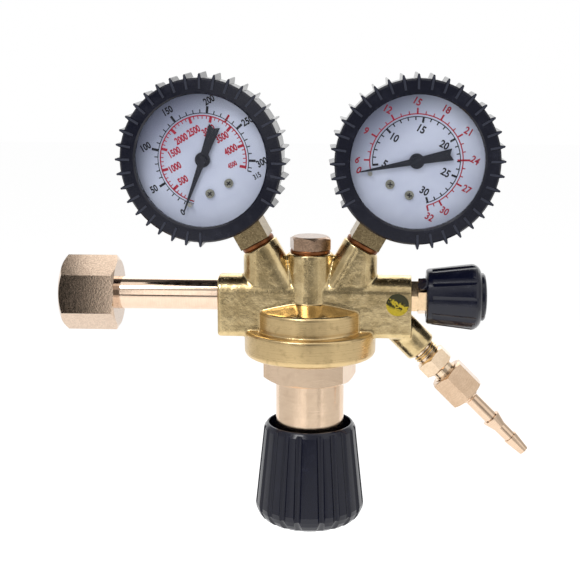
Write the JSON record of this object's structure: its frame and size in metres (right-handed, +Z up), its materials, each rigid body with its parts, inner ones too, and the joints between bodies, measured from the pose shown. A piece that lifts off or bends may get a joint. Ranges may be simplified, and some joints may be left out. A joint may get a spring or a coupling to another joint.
{
  "type": "welding gas regulator",
  "caption": "Brass gas cylinder regulator with inlet nut, two pressure gauges, a fluted pressure knob below, a flow valve and a 45 degree hose tail.",
  "frame": {"origin": "on the inlet axis, at the inner end of the inlet nut's thread", "axes": "+X along the barrel from the inlet to the flow valve, +Z up, dials face -Y"},
  "size_m": [0.2149, 0.0604, 0.2091],
  "materials": {
    "forged_brass": "forged, satin",
    "yellow_brass": "turned, satin",
    "turned_brass": "turned, polished",
    "stem_brass": "drawn, dull",
    "copper": "matte",
    "sintered_bronze": "sintered, matte",
    "white_seal": "matte",
    "rubber": "matte",
    "boot_rubber": "satin",
    "knob_plastic": "satin",
    "sticker": "gloss",
    "case_paint": "satin",
    "pointer_paint": "satin",
    "dial_paint": "matte",
    "lens": "clear",
    "steel": "brushed"
  },
  "bodies": {
    "fixed": {"body": "forged_brass", "inlet_tube": "turned_brass", "inlet_seal": "white_seal", "inlet_filter": "sintered_bronze", "top_plug": "turned_brass", "plug_gasket": "copper", "poppet_spring": "steel", "valve_seat": "yellow_brass", "diaphragm": "rubber", "slip_ring": "steel", "spring_housing": "turned_brass", "range_spring": "steel", "relief_body": "turned_brass", "valve_bonnet": "turned_brass", "gland_nut": "turned_brass", "spindle_oring": "rubber", "outlet_adapter": "yellow_brass", "hose_tail": "turned_brass", "inspection_sticker": "sticker", "gauge_gaskets": "copper", "dial_screws": "steel", "stop_pins": "steel", "left_gauge_case": "case_paint", "left_gauge_boot": "boot_rubber", "left_gauge_lens": "lens", "left_gauge_dial": "dial_paint", "left_gauge_bourdon_tube": "turned_brass", "left_gauge_movement": "yellow_brass", "left_gauge_socket": "stem_brass", "right_gauge_case": "case_paint", "right_gauge_boot": "boot_rubber", "right_gauge_lens": "lens", "right_gauge_dial": "dial_paint", "right_gauge_bourdon_tube": "turned_brass", "right_gauge_movement": "yellow_brass", "right_gauge_socket": "stem_brass"},
    "inlet_nut": {"inlet_nut": "turned_brass"},
    "outlet_nut": {"outlet_nut": "turned_brass"},
    "spring_stop": {"spring_button": "steel", "thrust_ball": "steel"},
    "pressure_adjuster": {"adjusting_screw": "steel", "pressure_knob": "knob_plastic", "pressure_knob_cap": "knob_plastic"},
    "valve_train": {"poppet": "turned_brass", "diaphragm_plate": "steel"},
    "relief_valve": {"relief_disc": "steel", "relief_spring": "steel"},
    "flow_valve": {"valve_disc": "white_seal"},
    "flow_adjuster": {"valve_spindle": "steel", "flow_knob": "knob_plastic", "flow_knob_cap": "knob_plastic"},
    "left_gauge_sector": {"left_gauge_sector": "yellow_brass"},
    "left_gauge_link": {"left_gauge_link": "steel"},
    "left_gauge_pointer": {"left_gauge_pointer": "pointer_paint", "left_gauge_pinion": "steel"},
    "right_gauge_sector": {"right_gauge_sector": "yellow_brass"},
    "right_gauge_link": {"right_gauge_link": "steel"},
    "right_gauge_pointer": {"right_gauge_pointer": "pointer_paint", "right_gauge_pinion": "steel"}
  },
  "joints": [
    {"name": "inlet_nut_turn", "type": "hinge", "parent": "fixed", "child": "inlet_nut", "pos_m": [0, 0, 0], "axis": [1, 0, 0], "continuous": true},
    {"name": "outlet_nut_turn", "type": "hinge", "parent": "fixed", "child": "outlet_nut", "pos_m": [0.1303, 0, 0], "axis": [0.7071, 0, -0.7071], "continuous": true},
    {"name": "screw_travel", "type": "slide", "parent": "fixed", "child": "spring_stop", "axis": [0, 0, 1], "range_m": [0, 0.01], "deforming": ["range_spring"]},
    {"name": "pressure_knob_turn", "type": "hinge", "parent": "spring_stop", "child": "pressure_adjuster", "pos_m": [0.1033, 0, 0], "axis": [0, 0, 1], "range_deg": [0, 2400]},
    {"name": "valve_lift", "type": "slide", "parent": "fixed", "child": "valve_train", "axis": [0, 0, 1], "range_m": [0, 0.0008], "stiffness_N_per_m": 1500, "deforming": ["poppet_spring", "diaphragm"]},
    {"name": "relief_lift", "type": "slide", "parent": "fixed", "child": "relief_valve", "axis": [0, 1, 0], "range_m": [0, 0.0005], "stiffness_N_per_m": 1500},
    {"name": "spindle_travel", "type": "slide", "parent": "fixed", "child": "flow_valve", "axis": [1, 0, 0], "range_m": [0, 0.002]},
    {"name": "flow_knob_turn", "type": "hinge", "parent": "flow_valve", "child": "flow_adjuster", "pos_m": [0.1033, 0, 0], "axis": [1, 0, 0], "range_deg": [0, 720]},
    {"name": "left_gauge_sector_turn", "type": "hinge", "parent": "fixed", "child": "left_gauge_sector", "pos_m": [0.06532, 0, 0.04897], "axis": [-0.0684, -0.9969, -0.0384], "range_deg": [0, 36.5], "stiffness_Nm_per_rad": 0.002},
    {"name": "left_gauge_link_turn", "type": "hinge", "parent": "left_gauge_sector", "child": "left_gauge_link", "pos_m": [0.06666, 0.00015, 0.04261], "axis": [-0.0684, -0.9969, -0.0384], "range_deg": [-36.5, 0]},
    {"name": "left_gauge_pointer_turn", "type": "hinge", "parent": "fixed", "child": "left_gauge_pointer", "pos_m": [0.05727, 0, 0.06331], "axis": [-0.0684, -0.9969, -0.0384], "range_deg": [-262.8, 0]},
    {"name": "right_gauge_sector_turn", "type": "hinge", "parent": "fixed", "child": "right_gauge_sector", "pos_m": [0.14128, 0, 0.04897], "axis": [0.0684, -0.9969, -0.0384], "range_deg": [0, 37], "stiffness_Nm_per_rad": 0.002},
    {"name": "right_gauge_link_turn", "type": "hinge", "parent": "right_gauge_sector", "child": "right_gauge_link", "pos_m": [0.13655, -0.00015, 0.04451], "axis": [0.0684, -0.9969, -0.0384], "range_deg": [-37, 0]},
    {"name": "right_gauge_pointer_turn", "type": "hinge", "parent": "fixed", "child": "right_gauge_pointer", "pos_m": [0.14933, 0, 0.06331], "axis": [0.0684, -0.9969, -0.0384], "range_deg": [-266.4, 0]}
  ],
  "couplings": [
    {"joint": "screw_travel", "follows": "pressure_knob_turn", "m_per_rad": 0.00023873},
    {"joint": "flow_knob_turn", "follows": "spindle_travel", "rad_per_m": 6283.2},
    {"joint": "left_gauge_link_turn", "follows": "left_gauge_sector_turn", "ratio": -1},
    {"joint": "left_gauge_pointer_turn", "follows": "left_gauge_sector_turn", "ratio": -7.2},
    {"joint": "right_gauge_link_turn", "follows": "right_gauge_sector_turn", "ratio": -1},
    {"joint": "right_gauge_pointer_turn", "follows": "right_gauge_sector_turn", "ratio": -7.2}
  ]
}
